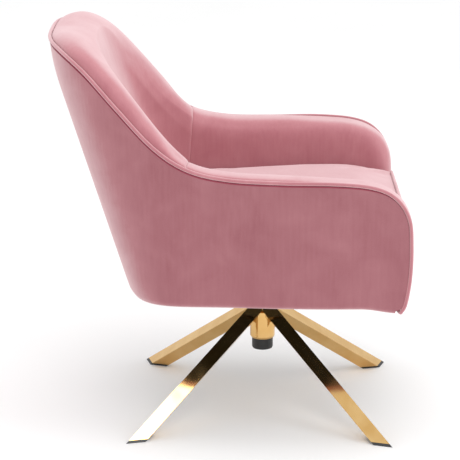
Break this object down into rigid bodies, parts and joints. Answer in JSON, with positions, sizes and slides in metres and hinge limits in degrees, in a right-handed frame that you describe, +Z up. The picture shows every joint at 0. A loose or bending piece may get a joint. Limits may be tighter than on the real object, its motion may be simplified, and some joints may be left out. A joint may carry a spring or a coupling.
{
  "type": "swivel armchair",
  "caption": "Low upholstered tub armchair with sloping wings and padded arms, turning on a hub over slanted square-tube legs set on edge.",
  "frame": {"origin": "on the floor, below the middle of the bounding box of the whole chair", "axes": "+Z up, the sitter faces -Y, +X to the sitter's left"},
  "size_m": [0.6396, 0.7198, 0.8016],
  "materials": {
    "gold_finish_steel": "polished",
    "black_plastic": "satin",
    "nylon": "satin",
    "steel": "satin",
    "black_steel": "satin",
    "wood": "matte",
    "foam": "matte",
    "black_lining": "matte",
    "piping_velvet": "matte",
    "pink_velvet": "matte"
  },
  "bodies": {
    "base": {"leg_front_left": "gold_finish_steel", "leg_front_right": "gold_finish_steel", "leg_rear_left": "gold_finish_steel", "leg_rear_right": "gold_finish_steel", "foot_front_left": "black_plastic", "foot_front_right": "black_plastic", "foot_rear_left": "black_plastic", "foot_rear_right": "black_plastic", "hub_sleeve": "gold_finish_steel", "hub_tube": "gold_finish_steel", "upper_bush": "nylon", "lower_bush": "nylon", "hub_end_cap": "black_plastic", "lower_race": "steel", "ball_cage": "nylon", "bearing_ball_1": "steel", "bearing_ball_2": "steel", "bearing_ball_3": "steel", "bearing_ball_4": "steel", "bearing_ball_5": "steel", "bearing_ball_6": "steel", "bearing_ball_7": "steel", "bearing_ball_8": "steel"},
    "seat_body": {"upper_race": "steel", "spindle": "steel", "retaining_washer": "steel", "retaining_nut": "steel", "swivel_plate": "black_steel", "plate_screw_1": "steel", "plate_screw_2": "steel", "plate_screw_3": "steel", "plate_screw_4": "steel", "left_rail": "wood", "right_rail": "wood", "front_rail": "wood", "rear_rail": "wood", "front_cross_rail": "wood", "rear_cross_rail": "wood", "seat_spring_1": "steel", "seat_spring_2": "steel", "seat_spring_3": "steel", "seat_spring_4": "steel", "left_arm_panel": "wood", "right_arm_panel": "wood", "back_panel": "wood", "left_arm_foam": "foam", "right_arm_foam": "foam", "back_foam": "foam", "left_arm_inner_cover": "pink_velvet", "right_arm_inner_cover": "pink_velvet", "back_inner_cover": "pink_velvet", "left_arm_front": "pink_velvet", "right_arm_front": "pink_velvet", "outer_cover": "pink_velvet", "edge_piping": "piping_velvet", "seat_cover": "pink_velvet", "seat_foam": "foam", "seat_piping": "piping_velvet", "front_border": "pink_velvet", "dust_cover": "black_lining"}
  },
  "joints": [
    {"name": "swivel", "type": "hinge", "parent": "base", "child": "seat_body", "pos_m": [0, -0.069, 0.25], "axis": [0, 0, 1], "continuous": true}
  ]
}
